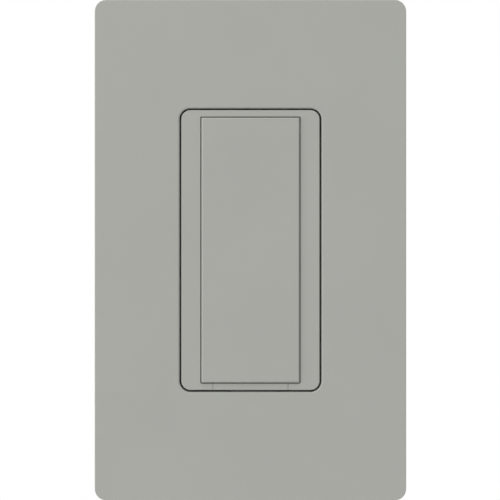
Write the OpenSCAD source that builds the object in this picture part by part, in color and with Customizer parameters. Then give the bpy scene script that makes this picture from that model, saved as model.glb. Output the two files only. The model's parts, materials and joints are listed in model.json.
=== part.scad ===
// Multi-location wall switch with a screwless cover plate.
// Every piece is drawn lying on its back, with the wall at z = 0 and the room at +z, and is
// then stood up so that the room is at -Y. The origin is on the wall, midway between the two
// screws that hold the switch in its box.

/* [Front bezel] */
// Width of the bezel
bezel_w = 32.85; // [32.75:0.05:33.8]
// Height of the bezel
bezel_h = 66.5; // [66.4:0.1:67.6]
// Corner radius of the bezel
bezel_corner_r = 2.15; // [1.5:0.05:2.6]
// Rounding of the bezel's front edge
bezel_edge_r = 0.2; // [0.15:0.05:0.6]
// How far the bezel stands out of the cover plate
bezel_proud = 0; // [0:0.1:0.8]
// Height of the bezel's rails above and below the paddle
bezel_rail = 1.55; // [1.4:0.05:1.8]
// Width of the bezel's bars at the paddle's sides
bezel_bar = 4.55; // [4:0.05:5]
// Thickness of the bezel's floor
bezel_floor_t = 1.2; // [1:0.1:1.3]
// Clearance round the bezel in the cover plate's opening
face_gap = 0.4; // [0.2:0.02:0.5]

/* [Paddle] */
// Clearance round the paddle in the bezel
paddle_gap = 0.2; // [0.15:0.05:0.3]
// How far the paddle stands out of the bezel
paddle_proud = 0.5; // [0.4:0.1:1.6]
// Thickness of the paddle's front wall
paddle_wall = 1.5; // [1.2:0.1:1.8]
// Thickness of the paddle's skirt
paddle_skirt_t = 1; // [0.8:0.1:1.2]
// Rounding of the paddle's front edge
paddle_edge_r = 0.5; // [0.4:0.05:0.8]
// Radius of the paddle's two pivot pins
pivot_r = 0.9; // [0.7:0.05:1]
// Angle through which the paddle is pressed, in degrees
paddle_travel = 0.8; // [0.5:0.1:0.9]

/* [Service tab] */
// Width of the pull-out tab under the paddle
tab_w = 17.8; // [15:0.1:19]
// Clearance at each side of the tab
tab_gap = 0.05; // [0.04:0.01:0.15]
// Thickness of the tab from front to back
tab_t = 2.5; // [2:0.1:3]
// Width of the tab's stem
stem_w = 9.2; // [8:0.1:10]
// How far the tab pulls out
tab_travel = 3.5; // [2.5:0.1:4]

/* [Yoke] */
// Thickness of the yoke's sheet
yoke_t = 1.5; // [1.3:0.1:1.7]
// Distance that the yoke stands off the wall, inside the cover plate's rim
yoke_off = 0.2; // [0.1:0.05:0.4]
// How far the yoke reaches past the housing at each side
yoke_side = 1; // [0.8:0.1:1.5]
// Distance from the plate screws to the yoke's ends
ear_end = 4.6; // [4:0.1:5]
// Gap between the housing and the washers of the box screws
washer_gap = 2.2; // [2.1:0.05:2.5]
// Length of the box screws behind the wall
box_screw_length = 24; // [20:1:30]

/* [Adapter] */
// Thickness of the adapter plate that the cover plate clips on
adapter_t = 1.5; // [1.2:0.1:1.8]
// Thickness of the adapter's flange
adapter_flange_t = 1.2; // [1:0.1:1.6]
// Clearance between the flange and the cover plate's side walls
adapter_clear = 0.5; // [0.4:0.05:0.6]

/* [Cover plate] */
// How far the cover plate reaches past the yoke at each side
plate_side = 15; // [14.5:0.1:18]
// How far the cover plate reaches past the yoke at the top and bottom
plate_end = 6.75; // [6.25:0.05:9]
// Free depth between the adapter and the cover plate's front wall
plate_room = 2.4; // [2.1:0.1:3]
// Thickness of the cover plate's front wall
plate_wall = 1.8; // [1.5:0.1:2]
// Thickness of the cover plate's side walls
plate_side_wall = 1.6; // [1.3:0.1:1.9]
// Corner radius of the cover plate
plate_corner_r = 3; // [2.6:0.1:5]
// Rounding of the cover plate's front edge
plate_edge_r = 0.2; // [0.2:0.1:1.1]
// Rounding of the cover plate's edge round the opening
opening_edge_r = 0.5; // [0.3:0.1:0.9]

/* [Back housing] */
// Depth of the housing behind the wall
housing_depth = 29; // [27:0.5:34]
// Thickness of the housing's walls
housing_wall = 1.6; // [1.4:0.1:1.8]
// How far the housing's inside reaches past the bezel at each side
housing_side = 3.225; // [2.8:0.025:3.8]
// Corner radius of the housing
housing_corner_r = 2.5; // [2:0.1:3]
// Rounding of the housing's rear edge
housing_edge_r = 1; // [0.6:0.1:1.4]

/* [Circuit board] */
// Distance from the wall to the front of the circuit board
board_depth = 4; // [3.8:0.1:4.4]
// Thickness of the circuit board
board_t = 1.6; // [1.2:0.1:1.8]

/* [Terminals] */
// Depth of each terminal's bay in the housing's side
bay_depth = 3.9; // [3.6:0.1:3.9]
// Width of each terminal's bay
bay_w = 10.4; // [9.6:0.1:11]
// Thickness of the terminals' brass plates
terminal_t = 0.8; // [0.6:0.1:1]
// Radius of the terminal screws
terminal_screw_r = 1.75; // [1.6:0.05:1.9]
// Room left for a wire under a screw's head
wire_gap = 1.7; // [1.5:0.1:1.8]

/* [Hidden] */

$fn = 48;

plastic_grey = [0.655, 0.66, 0.635];
housing_black = [0.09, 0.09, 0.1];
brass = [0.8, 0.65, 0.3];
steel = [0.75, 0.76, 0.78];

// How far a cut runs past the face that it opens
over = 1;
// Radial clearance of a thread in its tapped hole
thread_clear = 0.05;
// Radial clearance of a pin that turns or slides in its bore
running_clear = 0.08;
// Clearance between two pieces that only meet at a stop
stop_clear = 0.05;
// Flats that stand for each quarter round of a rounded edge
arc_steps = 5;

// Screws: number six and number four machine screws
screw_r = 1.75;
screw_hole_r = screw_r + 0.2;
pan_head_r = 2.9;
pan_head_h = 1.9;
box_head_r = 3.4;
box_head_h = 2;
head_clear = 0.3;
head_gap = 0.45;
box_neck_r = 1.55;
slot_half_w = 2.2;
slot_len = 8;
retainer_t = 0.4;
retainer_r = 4.2;
small_screw_r = 1.4;
small_head_r = 2.6;
small_head_h = 1.6;
terminal_head_r = 3.5;
terminal_head_t = 1.5;

// Widths and heights, from the bezel outwards
stem_room = 0.4;
ground_tip = 1.4;
ground_tip_clear = 0.45;
cavity_w = bezel_w + 2 * housing_side;
cavity_h = bezel_h + 2 * stem_room;
housing_w = cavity_w + 2 * housing_wall;
housing_h = cavity_h + 2 * housing_wall;
yoke_w = housing_w + 2 * yoke_side;
yoke_body_h = housing_h + 2 * (yoke_t + ground_tip + ground_tip_clear);
box_screw_spacing = housing_h + 2 * (washer_gap + retainer_r);
plate_screw_spacing = box_screw_spacing + 2 * (box_head_r + head_gap + pan_head_r);
yoke_h = plate_screw_spacing + 2 * ear_end;
plate_w = yoke_w + 2 * plate_side;
plate_h = yoke_h + 2 * plate_end;

// Depths, measured from the wall towards the room
yoke_front = yoke_off + yoke_t;
adapter_front = yoke_front + adapter_t;
plate_inside = adapter_front + plate_room;
plate_depth = plate_inside + plate_wall;
bezel_floor = yoke_front + bezel_floor_t;
bezel_front = plate_depth + bezel_proud;
paddle_front = bezel_front + paddle_proud;

// The cover plate
plate_draft = 0.25;
inside_w = plate_w - 2 * plate_side_wall;
inside_h = plate_h - 2 * plate_side_wall;
opening_w = bezel_w + 2 * face_gap;
opening_h = bezel_h + 2 * face_gap;
opening_corner_r = bezel_corner_r + face_gap;
collar_t = 1.2;
collar_h = 0.9;
rib_t = 1;
rib_clear = 0.1;
rib_x = (opening_w + inside_w) / 4;
rib_y = plate_screw_spacing / 2 + pan_head_r + 0.85;
pry_w = 8;
pry_h = 1.4;

// The adapter
adapter_w = inside_w - 2 * adapter_clear;
adapter_h = inside_h - 2 * adapter_clear;
adapter_corner_r = plate_corner_r - plate_side_wall;
flange_low = 0.3;
window_clear = 0.5;
window_lip_t = 1;
window_lip_h = plate_room - collar_h - 0.3;
stiffener_x = rib_x - 3.5;
stiffener_h = 0.8;

// The clips that hold the cover plate on the adapter
catch_len = 10;
catch_low = 0.4;
catch_high = 1.2;
catch_reach = 0.7 * adapter_clear;
catch_from_end = 21.65;
catch_from_side = 13.15;
catch_at_side = adapter_h / 2 - catch_from_end;
catch_at_end = adapter_w / 2 - catch_from_side;
clip_low = catch_high + 0.2;
clip_high = adapter_front - 0.4;

// The bezel
well_w = bezel_w - 2 * bezel_bar;
well_h = bezel_h - 2 * bezel_rail;
well_corner_r = 0.2;
bar_wall = 1.4;
foot_reach = window_clear - 0.1;
foot_t = 0.6;
leg_t = 1.6;
leg_w = 5;
leg_x = bezel_w / 2 - 2.2;
leg_y = bezel_h / 2 - 11.5;
leg_clear = 0.2;
barb_reach = 0.7;
window_half_h = 4;

// The paddle and its pivot
paddle_w = well_w - 2 * paddle_gap;
paddle_h = well_h - 2 * paddle_gap;
skirt_back = bezel_floor + 1.2;
pivot_from_end = 3;
pivot_y = paddle_h / 2 - pivot_from_end;
pivot_z = skirt_back + 1.5;
pivot_depth = 1.2;
hook_y = -(paddle_h / 2 - 6);
hook_len = 4;
hook_reach = 0.5;
hook_t = 0.6;
spring_arm_x = paddle_w / 2 - 3.8;
spring_arm_w = 2.5;
spring_arm_t = 0.9;
spring_arm_y = pivot_y - 3;
paddle_rib_x = paddle_w / 6;

// The tactile switch under the paddle
plunger_from_end = 19.5;
plunger_y = -(paddle_h / 2 - plunger_from_end);
plunger_r = 1.7;
plunger_tip = bezel_floor - 0.1;
plunger_hole_r = 2.6;
plunger_stroke = tan(paddle_travel) * (pivot_y - plunger_y);
tact_w = 6.2;
tact_floor = 0.6;
spacer_t = 0.8;
spacer_back = yoke_off - spacer_t;

// The service tab
tab_top = -well_h / 2;
tab_bottom = -bezel_h / 2;
stem_low = tab_bottom + 0.1;
stem_high = tab_top - 0.05;
stem_clear = 0.2;
shoulder_reach = 1.6;
shoulder_t = 1.4;
shoulder_front = -(tab_travel + 0.1);
bridge_t = 0.55;
blade_t = 0.4;
blade_w = 2.2;
blade_x = stem_w / 2 - 1.3;

// The yoke
ear_core_w = 20;
wing_gap = 0.9;
wing_h = 10;
wing_corner_r = 2;
ground_tab_w = 9;
ground_tab_depth = 9;
ground_x = -(housing_w / 2 - ground_tab_w / 2 - 1.25);
ground_z = -(ground_tab_depth + 1) / 2;

// The circuit board
board_back = -(board_depth + board_t);
board_clear = 0.65;
board_w = cavity_w - 2 * board_clear;
board_h = well_h - 0.6;
board_edge = 5;
stem_end = board_back - 3.3;
post_r = 1.5;
post_x = 9;
post_y = board_h / 2 - 5.4;

// The terminals, each as [side, height]
line_from_end = 17.4;
load_from_end = 19.4;
line_at = [1, board_h / 2 - line_from_end];
load_at = [1, load_from_end - board_h / 2];
traveler_at = [-1, line_at[1]];
bay_floor = housing_w / 2 - bay_depth;
bay_wall = 1.2;
bay_half = bay_w / 2 + bay_wall;
bay_front = board_back - 4.9;
terminal_z = bay_front - 6;
terminal_w = bay_w - 1.6;
terminal_len = 11;
tongue_w = 4;
tongue_clear = 0.15;
terminal_screw_end = 1.5;

// The housing
counterbore_r = small_head_r + 0.3;
counterbore = small_head_h + 0.2;
tower_r = counterbore_r + 0.2;
tower_x = cavity_w / 2 - tower_r + 0.5;
tower_y = cavity_h / 2 - tower_r + 0.2;
ledge_w = 1.5;
ledge_at = [line_at[1] + bay_half + 4.6, (line_at[1] + load_at[1]) / 2, load_at[1] - bay_half - 5.6];
panel_depth = 0.4;
panel_w = 2 * (bay_floor - bay_wall - 1);
panel_h = housing_h - 14;

// The parts behind the circuit board
part_gap = 2.5;
relay_size = [19, 15.2, 15];
relay_corner_r = 0.8;
relay_y = board_h / 2 - board_edge - relay_size[1] / 2;
film_size = [18, 7, 12.5];
film_y = relay_y - (relay_size[1] + film_size[1]) / 2 - part_gap;
choke_r = 7;
choke_bore_r = 3.4;
choke_h = 6;
winding_t = 0.9;
choke_y = board_edge + choke_r + winding_t - board_h / 2;
disc_r = 4.5;
disc_t = 2.6;
lead_r = 0.4;
can_r = 4;
can_h = 11;
corner_part_x = board_w / 2 - can_r - 1.8;
corner_part_y = board_edge + can_r - board_h / 2;
chip_size = [6, 5, 1.2];
chip_from_plunger = 16;
chip_y = plunger_y + chip_from_plunger;

// A quarter round, or any part of a circle, as points
function arc(cx, cy, r, from, to) = [
    for (i = [0 : arc_steps])
        let (a = from + (to - from) * i / arc_steps)
            [cx + r * cos(a), cy + r * sin(a)]
];

// Stands a piece that is drawn on its back up against the wall
module upright() {
    rotate([90, 0, 0]) children();
}

// A flat shape made solid between two depths
module slab(low, high) {
    translate([0, 0, low]) linear_extrude(high - low) children();
}

// A block between two corners
module block(low, high) {
    translate(low) cube(high - low);
}

module round_rect(w, h, r) {
    square([w, h - 2 * r], center = true);
    square([w - 2 * r, h], center = true);
    for (x = [-1, 1], y = [-1, 1])
        translate([x * (w / 2 - r), y * (h / 2 - r)]) circle(r);
}

// Carries a profile round a rounded rectangle. The profile's x is measured outwards from the
// centre of each corner, and its y from the wall towards the room.
module around(w, h, r) {
    for (side = [0 : 3]) {
        across = side % 2 == 0 ? w : h;
        along = side % 2 == 0 ? h : w;
        rotate(90 * side) translate([across / 2 - r, along / 2 - r, 0]) {
            rotate_extrude(angle = 90) children();
            rotate([90, 0, 0]) linear_extrude(along - 2 * r) children();
        }
    }
}

// The block that fills the middle of what around() makes
module middle(w, h, r, low, high) {
    block([r - w / 2, r - h / 2, low], [w / 2 - r, h / 2 - r, high]);
}

// A solid slab with its front edge rounded
module soft_slab(w, h, r, low, high, edge_r) {
    around(w, h, r)
        polygon(concat(
            [[0, low], [r, low]],
            arc(r - edge_r, high - edge_r, edge_r, 0, 90),
            [[0, high]]
        ));
    middle(w, h, r, low, high);
}

// A slab whose rounded front edges meet in mitres at its square corners
module crisp_slab(w, h, low, high, edge_r) {
    intersection() {
        translate([-w / 2, 0, 0]) rotate([90, 0, 90]) linear_extrude(w)
            crisp_profile(h, low, high, edge_r);
        translate([0, h / 2, 0]) rotate([90, 0, 0]) linear_extrude(h)
            crisp_profile(w, low, high, edge_r);
    }
}

module crisp_profile(across, low, high, edge_r) {
    polygon(concat(
        [[-across / 2, low], [across / 2, low]],
        arc(across / 2 - edge_r, high - edge_r, edge_r, 0, 90),
        arc(edge_r - across / 2, high - edge_r, edge_r, 90, 180)
    ));
}

// A rounded opening whose front edge is rounded outwards, as a cutter
module soft_opening(w, h, r, low, high, edge_r) {
    around(w, h, r)
        polygon(concat(
            [[0, low], [r, low]],
            arc(r + edge_r, high - edge_r, edge_r, 180, 90),
            [[r + edge_r, high + over], [0, high + over]]
        ));
    middle(w, h, r, low, high + over);
}

// A pan-headed screw along +z, with its head's underside at z = 0
module pan_screw(r, length, head_r, head_h) {
    dome = head_h / 2;
    difference() {
        rotate_extrude()
            polygon(concat(
                [[0, -length], [r - 0.3, -length], [r, -length + 0.5], [r, 0], [head_r, 0]],
                [[head_r, head_h - dome], [head_r - 0.25 * dome, head_h - 0.35 * dome]],
                [[head_r - 1.2 * dome, head_h], [0, head_h]]
            ));
        drive_recess(head_r, head_h);
    }
}

// A slot crossed with a short one, for either screwdriver
module drive_recess(head_r, head_h) {
    slot_w = 0.3 * head_r;
    deep = 0.55 * head_h;
    block([-head_r - over, -slot_w / 2, head_h - deep], [head_r + over, slot_w / 2, head_h + over]);
    block(
        [-slot_w / 2, -0.55 * head_r, head_h - deep],
        [slot_w / 2, 0.55 * head_r, head_h + over]
    );
}

// The cover plate's clips lie at these places, as [turn, distance from the middle, offset]
function clip_places(w, h) = concat(
    [for (s = [-1, 1], y = [-1, 1]) [s > 0 ? 0 : 180, w / 2, y * catch_at_side]],
    [for (s = [-1, 1], x = [-1, 1]) [s > 0 ? 90 : 270, h / 2, x * catch_at_end]]
);

// Catches on a wall's face, from one distance off the face to another
module clips(w, h, from, to, low, high) {
    for (place = clip_places(w, h))
        rotate(place[0])
            block(
                [place[1] + from, place[2] - catch_len / 2, low],
                [place[1] + to, place[2] + catch_len / 2, high]
            );
}

module wallplate() {
    r = plate_corner_r;
    front_r = r - plate_draft;
    color(plastic_grey) difference() {
        union() {
            around(plate_w, plate_h, r)
                polygon(concat(
                    [[r - plate_side_wall, 0], [r, 0]],
                    arc(front_r - plate_edge_r, plate_depth - plate_edge_r, plate_edge_r, 0, 90),
                    [[0, plate_depth], [0, plate_inside], [front_r - plate_side_wall, plate_inside]]
                ));
            middle(plate_w, plate_h, r, plate_inside, plate_depth);
            slab(plate_inside - collar_h, plate_depth - plate_wall / 2)
                round_rect(
                    opening_w + 2 * collar_t,
                    opening_h + 2 * collar_t,
                    opening_corner_r + collar_t
                );
            for (s = [-1, 1]) {
                block(
                    [s * rib_x - rib_t / 2, -opening_h / 2, adapter_front + rib_clear],
                    [s * rib_x + rib_t / 2, opening_h / 2, plate_depth - plate_wall / 2]
                );
                block(
                    [-opening_w / 2, s * rib_y - rib_t / 2, adapter_front + rib_clear],
                    [opening_w / 2, s * rib_y + rib_t / 2, plate_depth - plate_wall / 2]
                );
            }
            clips(inside_w, inside_h, -catch_reach, plate_side_wall / 3, catch_low, catch_high);
        }
        soft_opening(opening_w, opening_h, opening_corner_r, -over, plate_depth, opening_edge_r);
        block([-pry_w / 2, -plate_h / 2 - over, -over], [pry_w / 2, -inside_h / 2 + over, pry_h]);
    }
}

module wallplate_adapter() {
    window_w = bezel_w + 2 * window_clear;
    window_h = bezel_h + 2 * window_clear;
    window_r = bezel_corner_r + window_clear;
    color("whitesmoke") difference() {
        union() {
            slab(yoke_front, adapter_front) round_rect(adapter_w, adapter_h, adapter_corner_r);
            slab(flange_low, adapter_front) difference() {
                round_rect(adapter_w, adapter_h, adapter_corner_r);
                square(
                    [adapter_w - 2 * adapter_flange_t, adapter_h - 2 * adapter_flange_t],
                    center = true
                );
            }
            slab(yoke_front, adapter_front + window_lip_h)
                round_rect(
                    window_w + 2 * window_lip_t,
                    window_h + 2 * window_lip_t,
                    window_r + window_lip_t
                );
            clips(adapter_w, adapter_h, -adapter_flange_t / 3, catch_reach, clip_low, clip_high);
            for (s = [-1, 1])
                block(
                    [s * stiffener_x - rib_t / 2, -opening_h / 2, yoke_front],
                    [s * stiffener_x + rib_t / 2, opening_h / 2, adapter_front + stiffener_h]
                );
        }
        slab(yoke_front - over, plate_depth) round_rect(window_w, window_h, window_r);
        for (s = [-1, 1]) {
            translate([0, s * plate_screw_spacing / 2, yoke_front - over])
                cylinder(r = screw_hole_r, h = adapter_t + 2 * over);
            translate([0, s * box_screw_spacing / 2, yoke_front - over])
                cylinder(r = box_head_r + head_clear, h = adapter_t + 2 * over);
        }
    }
}

module adapter_screws() {
    color(steel) for (s = [-1, 1])
        translate([0, s * plate_screw_spacing / 2, adapter_front])
            pan_screw(screw_r, adapter_front + 3, pan_head_r, pan_head_h);
}

module bezel() {
    core_low_x = well_w / 2 + bar_wall;
    core_high_x = bezel_w / 2 - bar_wall;
    core_half_h = leg_y - leg_w / 2 - 0.8;
    color(plastic_grey) difference() {
        union() {
            soft_slab(bezel_w, bezel_h, bezel_corner_r, yoke_front, bezel_front, bezel_edge_r);
            bezel_foot();
            for (x = [-1, 1], y = [-1, 1])
                translate([0, y * leg_y, 0]) bezel_leg(x);
        }
        slab(bezel_floor, bezel_front + over) round_rect(well_w, well_h, well_corner_r);
        for (s = [-1, 1]) {
            block(
                [min(s * core_low_x, s * core_high_x), -core_half_h, yoke_front - over],
                [max(s * core_low_x, s * core_high_x), core_half_h, bezel_front - bar_wall]
            );
            paddle_seat(s);
        }
        translate([0, plunger_y, yoke_front - over])
            cylinder(r = plunger_hole_r, h = bezel_floor_t + 2 * over);
        for (y = [pivot_y - 14, plunger_y + 14, plunger_y - 12])
            block(
                [-well_w / 4, y - window_half_h, yoke_front - over],
                [well_w / 4, y + window_half_h, bezel_floor + over]
            );
        tab_notch();
    }
}

// A clip leg behind the bezel, with its barb behind the yoke
// A low flange round the bezel's foot lies on the yoke and closes the gap to the adapter
module bezel_foot() {
    slab(yoke_front, yoke_front + foot_t)
        round_rect(bezel_w + 2 * foot_reach, bezel_h + 2 * foot_reach, bezel_corner_r + foot_reach);
}

module bezel_leg(s) {
    outside = leg_x + leg_t / 2;
    barb_top = yoke_off - stop_clear;
    profile = [
        [leg_x - leg_t / 2, yoke_front + 0.2],
        [outside, yoke_front + 0.2],
        [outside, barb_top],
        [outside + barb_reach, barb_top],
        [outside + barb_reach, barb_top - 0.4],
        [outside, barb_top - 1.6],
        [leg_x - leg_t / 2, barb_top - 1.6],
    ];
    mirror([s > 0 ? 0 : 1, 0, 0])
        translate([0, leg_w / 2, 0]) rotate([90, 0, 0]) linear_extrude(leg_w) polygon(profile);
}

// The seats for the paddle's pivot pin and hook in one side of the bezel
module paddle_seat(s) {
    bore_r = pivot_r + running_clear;
    entry_w = 1.6 * pivot_r;
    reach = pivot_depth + 0.2;
    translate([s * well_w / 2, 0, 0]) mirror([s > 0 ? 0 : 1, 0, 0]) {
        translate([-0.5, pivot_y, pivot_z]) rotate([0, 90, 0]) cylinder(r = bore_r, h = reach + 0.5);
        block([-0.5, pivot_y - entry_w / 2, bezel_floor], [reach, pivot_y + entry_w / 2, pivot_z]);
        block(
            [-0.5, hook_y - hook_len / 2 - 0.4, bezel_floor],
            [
                hook_reach - paddle_gap + 0.3,
                hook_y + hook_len / 2 + 0.4,
                skirt_back + hook_t + stop_clear
            ]
        );
    }
}

// The room for the pull-out tab and its stem in the bezel's lower rail
module tab_notch() {
    notch_w = tab_w + 2 * tab_gap;
    block(
        [-notch_w / 2, tab_bottom - over, bezel_front - tab_t - stop_clear],
        [notch_w / 2, tab_top + over, bezel_front + over]
    );
    block(
        [-stem_w / 2 - stem_clear, tab_bottom - over, yoke_front - over],
        [stem_w / 2 + stem_clear, tab_top + 0.4, bezel_front]
    );
}

module tap_paddle() {
    inner_w = paddle_w - 2 * paddle_skirt_t;
    inner_h = paddle_h - 2 * paddle_skirt_t;
    inside = paddle_front - paddle_wall;
    post_tip = plunger_tip + stop_clear;
    rib_pitch = (spring_arm_y - 5.3 - plunger_y) / 3;
    rib_ys = concat([(plunger_y - paddle_h / 2) / 2], [for (i = [1 : 3]) plunger_y + i * rib_pitch]);
    color(plastic_grey) difference() {
        union() {
            difference() {
                crisp_slab(paddle_w, paddle_h, skirt_back, paddle_front, paddle_edge_r);
                block([-inner_w / 2, -inner_h / 2, skirt_back - over], [inner_w / 2, inner_h / 2, inside]);
            }
            for (y = rib_ys)
                block(
                    [-paddle_w / 2 + 0.5, y - rib_t / 2, skirt_back + 0.8],
                    [paddle_w / 2 - 0.5, y + rib_t / 2, inside + 0.5]
                );
            for (s = [-1, 1]) {
                block(
                    [s * paddle_rib_x - rib_t / 2, -paddle_h / 2 + 0.5, skirt_back + 1.6],
                    [s * paddle_rib_x + rib_t / 2, paddle_h / 2 - 0.5, inside + 0.5]
                );
                spring_arm(s);
                pivot_pin(s);
                hook(s);
            }
            translate([0, plunger_y, post_tip])
                cylinder(r = plunger_r + 0.1, h = inside + 0.5 - post_tip);
            block(
                [-paddle_rib_x, plunger_y - rib_t / 2, skirt_back + 0.8],
                [paddle_rib_x, plunger_y + rib_t / 2, inside + 0.5]
            );
        }
        // The skirt is cut away over the tab's stem, so that the tab can pull out
        block(
            [-stem_w / 2 - 0.6, -paddle_h / 2 - over, skirt_back - over],
            [stem_w / 2 + 0.6, -paddle_h / 2 + paddle_skirt_t, skirt_back + 1.2]
        );
    }
}

// A moulded spring finger that pushes the paddle back out
module spring_arm(s) {
    foot_z = bezel_floor + 0.15;
    lean = 2.4;
    top = paddle_front - paddle_wall + 0.3;
    profile = [
        [spring_arm_y, top],
        [spring_arm_y - spring_arm_t - 0.3, top],
        [spring_arm_y - lean - spring_arm_t, foot_z],
        [spring_arm_y - lean, foot_z],
    ];
    translate([s * spring_arm_x - spring_arm_w / 2, 0, 0])
        rotate([90, 0, 90]) linear_extrude(spring_arm_w) polygon(profile);
}

module pivot_pin(s) {
    root = paddle_w / 2 - 0.5;
    translate([s * root, pivot_y, pivot_z]) rotate([0, s * 90, 0])
        cylinder(r = pivot_r, h = 0.5 + paddle_gap + pivot_depth);
}

module hook(s) {
    x = s * paddle_w / 2;
    block(
        [min(x, x + s * hook_reach) - (s > 0 ? 0.4 : 0), hook_y - hook_len / 2, skirt_back],
        [max(x, x + s * hook_reach) + (s < 0 ? 0.4 : 0), hook_y + hook_len / 2, skirt_back + hook_t]
    );
}

module service_tab() {
    groove_w = tab_w - 4;
    back = bezel_front - tab_t;
    bar = concat(
        [[tab_top, back], [tab_top, bezel_front]],
        [for (p = arc(tab_bottom + bezel_edge_r, bezel_front - bezel_edge_r, bezel_edge_r, 90, 180)) p],
        [[tab_bottom, back]]
    );
    color(plastic_grey) difference() {
        union() {
            translate([-tab_w / 2, 0, 0]) rotate([90, 0, 90]) linear_extrude(tab_w) polygon(bar);
            block([-stem_w / 2, stem_low, stem_end], [stem_w / 2, stem_high, back + 0.3]);
            block(
                [-stem_w / 2 - shoulder_reach, stem_low, shoulder_front - shoulder_t],
                [stem_w / 2 + shoulder_reach, stem_high, shoulder_front]
            );
        }
        // A groove under the tab for a fingernail
        translate([-groove_w / 2, 0, 0]) rotate([90, 0, 90]) linear_extrude(groove_w)
            polygon([
                [tab_bottom - over, bezel_front - 0.8],
                [tab_bottom + 0.5, bezel_front - 0.9],
                [tab_bottom + 0.5, bezel_front - 1.3],
                [tab_bottom - over, bezel_front - 1.8],
            ]);
    }
}

module air_gap_bridge() {
    color(brass)
        block(
            [0.1 - stem_w / 2, stem_low + 0.1, stem_end - bridge_t],
            [stem_w / 2 - 0.1, stem_high - 0.1, stem_end]
        );
}

module air_gap_blades() {
    contact = stem_end - bridge_t - stop_clear;
    foot_low = -board_h / 2 + 0.5;
    profile = [
        [foot_low + 3.5, board_back],
        [foot_low, board_back],
        [foot_low, contact],
        [stem_low + 0.2, contact],
        [stem_low + 0.2, contact - blade_t],
        [foot_low + blade_t, contact - blade_t],
        [foot_low + blade_t, board_back - blade_t],
        [foot_low + 3.5, board_back - blade_t],
    ];
    color(brass) for (s = [-1, 1])
        translate([s * blade_x - blade_w / 2, 0, 0])
            rotate([90, 0, 90]) linear_extrude(blade_w) polygon(profile);
}

// One ear of the yoke: a core that carries the holes, and two wings that break off
module ear(s) {
    ear_h = (yoke_h - yoke_body_h) / 2;
    wing_w = (yoke_w - ear_core_w) / 2 - wing_gap;
    wing_y = yoke_h / 2 - wing_h / 2;
    translate([-ear_core_w / 2, s > 0 ? yoke_body_h / 2 - over : -yoke_h / 2])
        square([ear_core_w, ear_h + over]);
    for (x = [-1, 1]) {
        translate([x * (yoke_w / 2 - wing_w / 2), s * wing_y]) round_rect(wing_w, wing_h, wing_corner_r);
        for (bridge = [-1, 1])
            translate([x * (ear_core_w + wing_gap) / 2, s * wing_y + bridge * 3])
                square([wing_gap + 1, 1.1], center = true);
    }
}

module box_slot() {
    square([slot_len - 2 * slot_half_w, 2 * slot_half_w], center = true);
    for (x = [-1, 1])
        translate([x * (slot_len / 2 - slot_half_w), 0]) circle(slot_half_w);
}

module yoke() {
    color(steel) difference() {
        union() {
            slab(yoke_off, yoke_front) {
                round_rect(yoke_w, yoke_body_h, wing_corner_r);
                for (s = [-1, 1]) ear(s);
            }
            block(
                [ground_x - ground_tab_w / 2, -yoke_body_h / 2, -ground_tab_depth],
                [ground_x + ground_tab_w / 2, -yoke_body_h / 2 + yoke_t, yoke_off + yoke_t / 2]
            );
        }
        for (s = [-1, 1]) {
            slab(-over, yoke_front + over) translate([0, s * box_screw_spacing / 2]) box_slot();
            translate([0, s * plate_screw_spacing / 2, -over])
                cylinder(r = screw_r + thread_clear, h = yoke_front + 2 * over);
        }
        for (x = [-1, 1], y = [-1, 1]) {
            translate([x * tower_x, y * tower_y, -over])
                cylinder(r = small_screw_r + thread_clear, h = yoke_front + 2 * over);
            block(
                [x * leg_x - leg_t / 2 - leg_clear, y * leg_y - leg_w / 2 - leg_clear, -over],
                [x * leg_x + leg_t / 2 + leg_clear, y * leg_y + leg_w / 2 + leg_clear, yoke_front + over]
            );
        }
        translate([0, plunger_y, -over]) cylinder(r = plunger_hole_r, h = yoke_front + 2 * over);
        block(
            [-stem_w / 2 - stem_clear, tab_bottom - stem_clear, -over],
            [stem_w / 2 + stem_clear, tab_top + stem_clear, yoke_front + over]
        );
        translate([ground_x, -yoke_body_h / 2 - over, ground_z]) rotate([-90, 0, 0])
            cylinder(r = terminal_screw_r + thread_clear, h = yoke_t + 2 * over);
    }
}

module box_screws() {
    color(steel) for (s = [-1, 1])
        translate([0, s * box_screw_spacing / 2, 0]) difference() {
            union() {
                rotate_extrude()
                    polygon([
                        [0, -box_screw_length],
                        [screw_r - 0.6, -box_screw_length],
                        [screw_r, -box_screw_length + 1],
                        [screw_r, yoke_off - retainer_t],
                        [box_neck_r, yoke_off - retainer_t],
                        [box_neck_r, yoke_front],
                        [box_head_r, yoke_front],
                        [box_head_r, yoke_front + 0.5 * box_head_h],
                        [box_head_r - 1, yoke_front + 0.85 * box_head_h],
                        [box_head_r - 2.2, yoke_front + box_head_h],
                        [0, yoke_front + box_head_h],
                    ]);
            }
            translate([0, 0, yoke_front]) drive_recess(box_head_r, box_head_h);
        }
}

module screw_retainers() {
    color("saddlebrown") for (s = [-1, 1])
        translate([0, s * box_screw_spacing / 2, yoke_off - retainer_t]) difference() {
            cylinder(r = retainer_r, h = retainer_t);
            translate([0, 0, -over]) cylinder(r = box_neck_r + thread_clear, h = retainer_t + 2 * over);
        }
}

module ground_screw() {
    head_under = -yoke_body_h / 2 - wire_gap;
    color("green") translate([ground_x, head_under, ground_z]) rotate([90, 0, 0])
        pan_screw(terminal_screw_r, wire_gap + yoke_t + ground_tip, terminal_head_r, terminal_head_t);
}

// The block that a terminal's bay is cut from, and the bay itself
module bay_block(at) {
    mirror([at[0] > 0 ? 0 : 1, 0, 0])
        block(
            [bay_floor - bay_wall, at[1] - bay_half, -housing_depth + housing_wall / 2],
            [(housing_w - housing_wall) / 2, at[1] + bay_half, bay_front + bay_wall]
        );
}

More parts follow.
